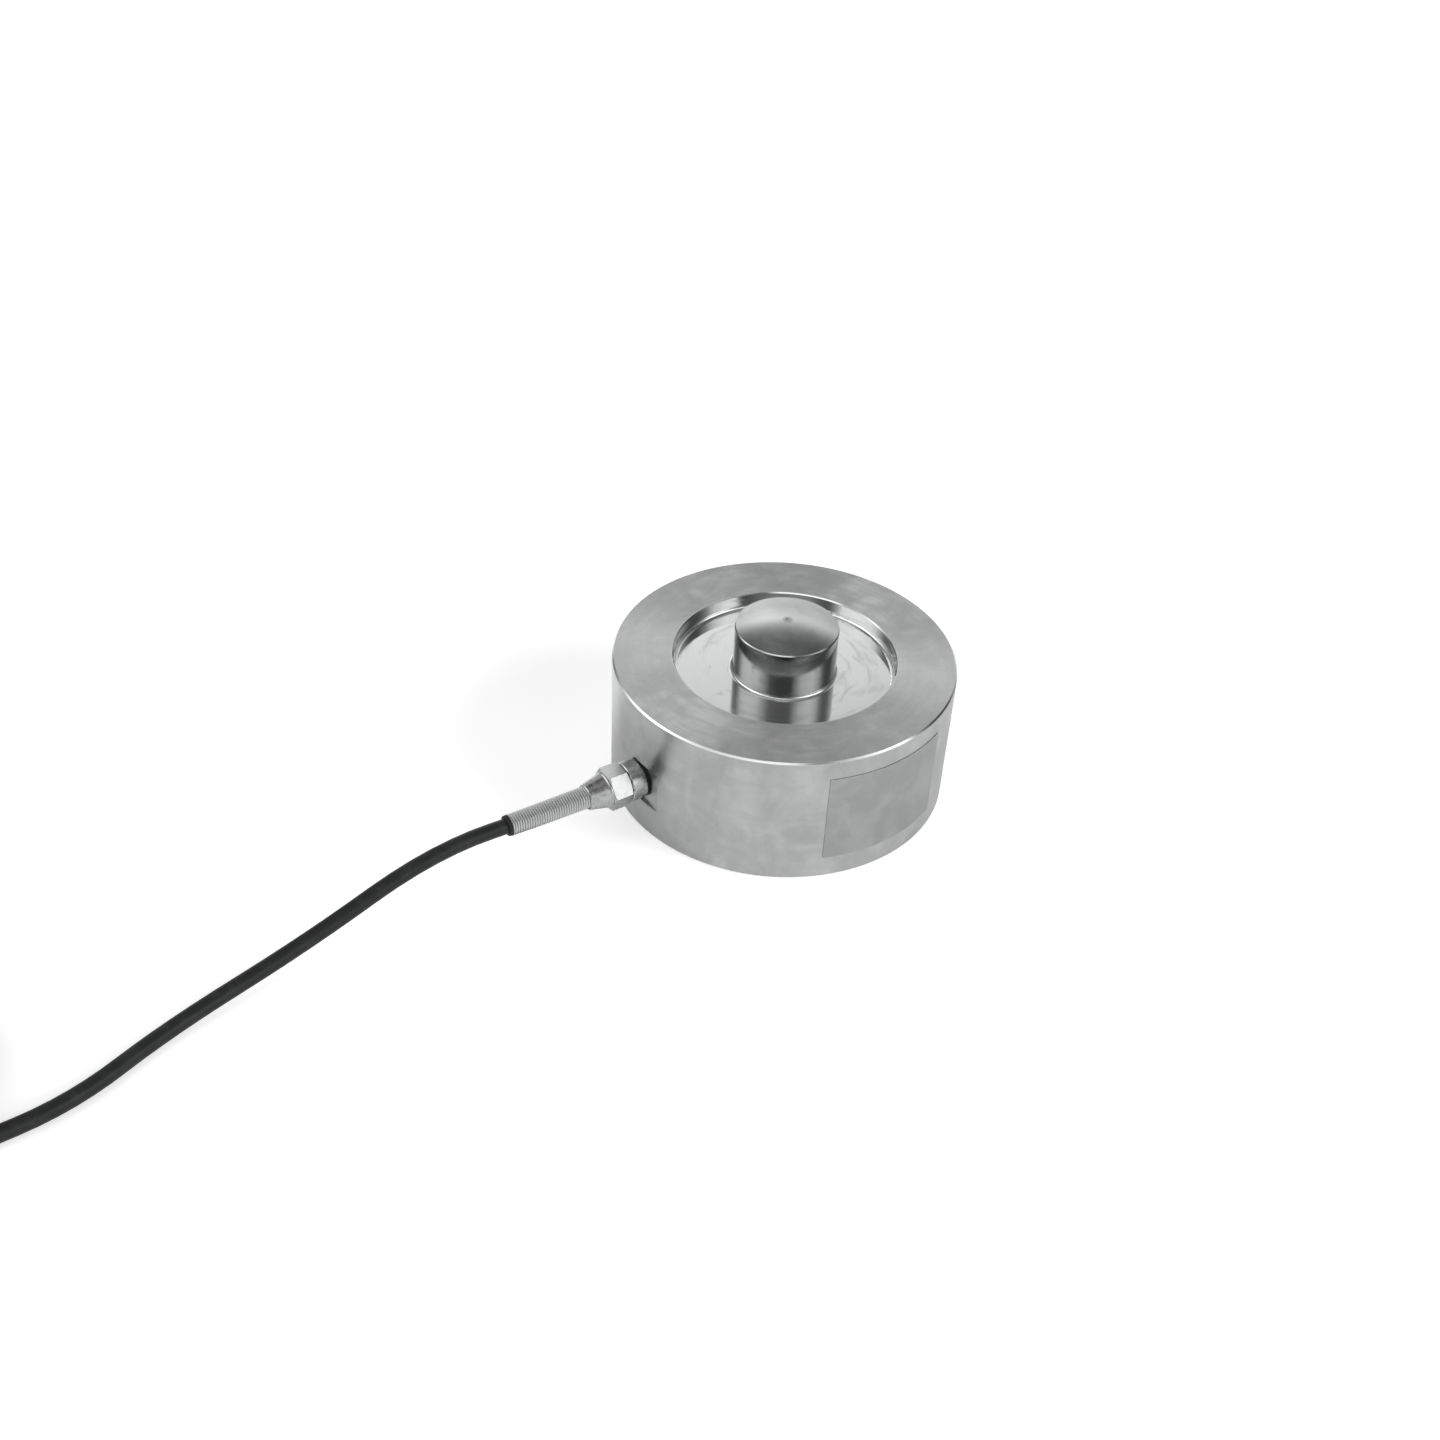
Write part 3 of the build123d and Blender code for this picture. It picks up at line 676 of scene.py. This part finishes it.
def make_lead(number, side, up, fan):
    tail_end = Vector((COIL_X - TAIL[-1][0] * MM, COIL_SIDE, COIL_LOW))
    start = tail_end + Vector((0.0, side * LEAD_OFFSET, up * LEAD_OFFSET))
    heading = Vector((-math.cos(math.radians(fan)), math.sin(math.radians(fan)), 0.0))
    mouth = start - Vector((SLEEVE_REACH, 0.0, 0.0))
    low = mouth + heading * (LEAD_LENGTH / 3)
    low.z = LEAD_HEIGHT
    end = low + heading * (LEAD_LENGTH * 2 / 3)
    core = CORES[number - 1]
    route = [start, mouth, low, end]
    lead = make_line(f"lead_{number}", route, LEAD_RADIUS, LEAD_ROUNDNESS, core)
    tip = [end - heading * TIP_INSET, end, end + heading * TIP_LENGTH]
    bare = make_line(f"lead_tip_{number}", tip, TIP_RADIUS, LEAD_ROUNDNESS, "copper")
    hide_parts(f"flying_lead_{number}")
    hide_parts(f"flying_lead_{number}")
    for piece in (lead, bare):
        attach(piece, "root")
    return [lead, bare]


tail_pieces = []
for number, (side, up, fan) in enumerate(LEADS, 1):
    tail_pieces += make_lead(number, side, up, fan)

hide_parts("cable", "cable_coil")
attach(cable, "root")


# Studio: a pale floor, screens to the left, right and behind, and a dark ceiling. BEARINGS
# gives the screens' light by degrees round from the camera, rightwards positive, and HEIGHTS
# by the sine of the height over the level. Near the zenith only HEIGHTS counts.
BEARINGS = [
    (-180, 1.08), (-172, 1.3), (-160, 1.0), (-150, 0.45), (-138, 0.22), (-126, 0.22),
    (-116, 0.75), (-106, 1.5), (-84, 1.8), (-60, 1.55), (-44, 0.8), (-30, 0.15),
    (-12, 0.03), (16, 0.03), (27, 0.6), (40, 1.35), (66, 1.6), (82, 1.05), (93, 0.35),
    (104, 0.08), (120, 0.08), (132, 0.4), (146, 0.6), (160, 0.9), (172, 1.0), (180, 1.08),
]
HEIGHTS = [
    (0.0, 0.85), (0.3, 0.78), (0.42, 0.9), (0.5, 1.2), (0.54, 1.25), (0.575, 1.08),
    (0.615, 0.78), (0.67, 0.46), (0.75, 0.25), (0.86, 0.14), (0.93, 0.22), (1.0, 0.34),
]
ZENITH = (0.8, 0.97)
# Two patches: low, high and soft edge in height, then in bearing as turns, and the light
OVER_CAMERA = ((0.76, 0.84, 0.035), (-0.24, 0.02, 0.07), 1.7)
LOW_RIGHT = ((0.28, 0.5, 0.05), (0.145, 0.225, 0.03), 2.4)


def ramp(tree, value, stops):
    """A grey that goes straight from stop to stop, each a place and its tone."""
    node = tree.nodes.new("ShaderNodeValToRGB")
    feed(tree, node.inputs["Fac"], value)
    elements = node.color_ramp.elements
    while len(elements) > 1:
        elements.remove(elements[-1])
    elements[0].position = stops[0][0]
    elements[0].color = grey(stops[0][1])
    for place, tone in stops[1:]:
        elements.new(place).color = grey(tone)
    return node.outputs[0]


def make_world():
    world = bpy.data.worlds.new("studio")
    world.use_nodes = True
    tree = world.node_tree
    tree.nodes.clear()
    output = tree.nodes.new("ShaderNodeOutputWorld")
    direction = tree.nodes.new("ShaderNodeTexCoord").outputs["Generated"]
    toward = vector_calc(tree, "DOT_PRODUCT", direction, TOWARD)
    across = vector_calc(tree, "DOT_PRODUCT", direction, RIGHTWARD)
    height = split(tree, direction)[2]
    bearing = calc(tree, "DIVIDE", calc(tree, "ARCTAN2", across, toward), 2 * math.pi)
    round_stops = [(0.5 + degree / 360, value) for degree, value in BEARINGS]
    spread = ramp(tree, plus(tree, bearing, 0.5), round_stops)
    rising = ramp(tree, calc(tree, "ABSOLUTE", height), HEIGHTS)
    screens = vector_calc(tree, "MULTIPLY", spread, rising)
    studio = mix(tree, rise(tree, height, *ZENITH), screens, rising)
    for heights, bearings, light in (OVER_CAMERA, LOW_RIGHT):
        patch = times(tree, between(tree, height, *heights), between(tree, bearing, *bearings))
        studio = mix(tree, patch, studio, grey(light))
    lit = tree.nodes.new("ShaderNodeBackground")
    feed(tree, lit.inputs["Color"], studio)
    white = tree.nodes.new("ShaderNodeBackground")
    white.inputs["Color"].default_value = (1.0, 1.0, 1.0, 1.0)
    seen = tree.nodes.new("ShaderNodeMixShader")
    feed(tree, seen.inputs[0], tree.nodes.new("ShaderNodeLightPath").outputs["Is Camera Ray"])
    feed(tree, seen.inputs[1], lit.outputs[0])
    feed(tree, seen.inputs[2], white.outputs[0])
    feed(tree, output.inputs["Surface"], seen.outputs[0])
    bpy.context.scene.world = world


# The floor glows for the camera, so that it is white, and a little for reflections, with a
# painted pool of light behind the body at the left where it glows more for reflections
FLOOR_HALF = 3.0
FLOOR_TONE = (0.82, 0.82, 0.82, 1.0)
CAMERA_GLOW = 0.46
GLOSSY_GLOW = 0.1
PAINTED_POOL_GLOW = 0.5


def make_floor():
    mesh = bpy.data.meshes.new("floor")
    corners = [(-1, -1), (1, -1), (1, 1), (-1, 1)]
    verts = [(x * FLOOR_HALF, y * FLOOR_HALF, 0.0) for x, y in corners]
    mesh.from_pydata(verts, [], [(0, 1, 2, 3)])
    obj = bpy.data.objects.new("floor", mesh)
    bpy.context.collection.objects.link(obj)
    material = bpy.data.materials.new("pale_floor")
    material.use_nodes = True
    tree = material.node_tree
    tree.nodes.clear()
    output = tree.nodes.new("ShaderNodeOutputMaterial")
    matt = tree.nodes.new("ShaderNodeBsdfDiffuse")
    matt.inputs["Color"].default_value = FLOOR_TONE
    glow = tree.nodes.new("ShaderNodeEmission")
    path = tree.nodes.new("ShaderNodeLightPath")
    point = object_point(tree)
    # Painted pool of light: behind and left of the body the floor glows more for glossy rays
    behind = rise(tree, vector_calc(tree, "DOT_PRODUCT", point, -TOWARD), 0.0, 0.04)
    left = rise(tree, vector_calc(tree, "DOT_PRODUCT", point, -RIGHTWARD), 0.03, 0.07)
    painted_pool = plus(tree, GLOSSY_GLOW, times(tree, behind, left), PAINTED_POOL_GLOW)
    seen = times(tree, path.outputs["Is Camera Ray"], CAMERA_GLOW)
    mirrored = times(tree, path.outputs["Is Glossy Ray"], painted_pool)
    feed(tree, glow.inputs["Strength"], plus(tree, seen, mirrored))
    both = tree.nodes.new("ShaderNodeAddShader")
    feed(tree, both.inputs[0], matt.outputs[0])
    feed(tree, both.inputs[1], glow.outputs[0])
    feed(tree, output.inputs["Surface"], both.outputs[0])
    mesh.materials.append(material)


# Two soft boxes, aimed at the body and not seen in reflections
LIGHT_TARGET = Vector((0.0, 0.0, 0.03))


def make_light(name, place, size, power):
    data = bpy.data.lights.new(name, "AREA")
    data.shape = "RECTANGLE"
    data.size = size
    data.size_y = size
    data.energy = power
    obj = bpy.data.objects.new(name, data)
    obj.location = place
    aim = LIGHT_TARGET - Vector(place)
    obj.rotation_euler = aim.to_track_quat("-Z", "Y").to_euler()
    obj.visible_glossy = False
    bpy.context.collection.objects.link(obj)


make_world()
make_floor()
make_light("left_box", (-1.1, -0.1, 0.75), 0.7, 3.5)
make_light("right_box", (0.75, -0.85, 0.7), 0.6, 11.0)

bpy.context.scene.view_settings.view_transform = "Standard"
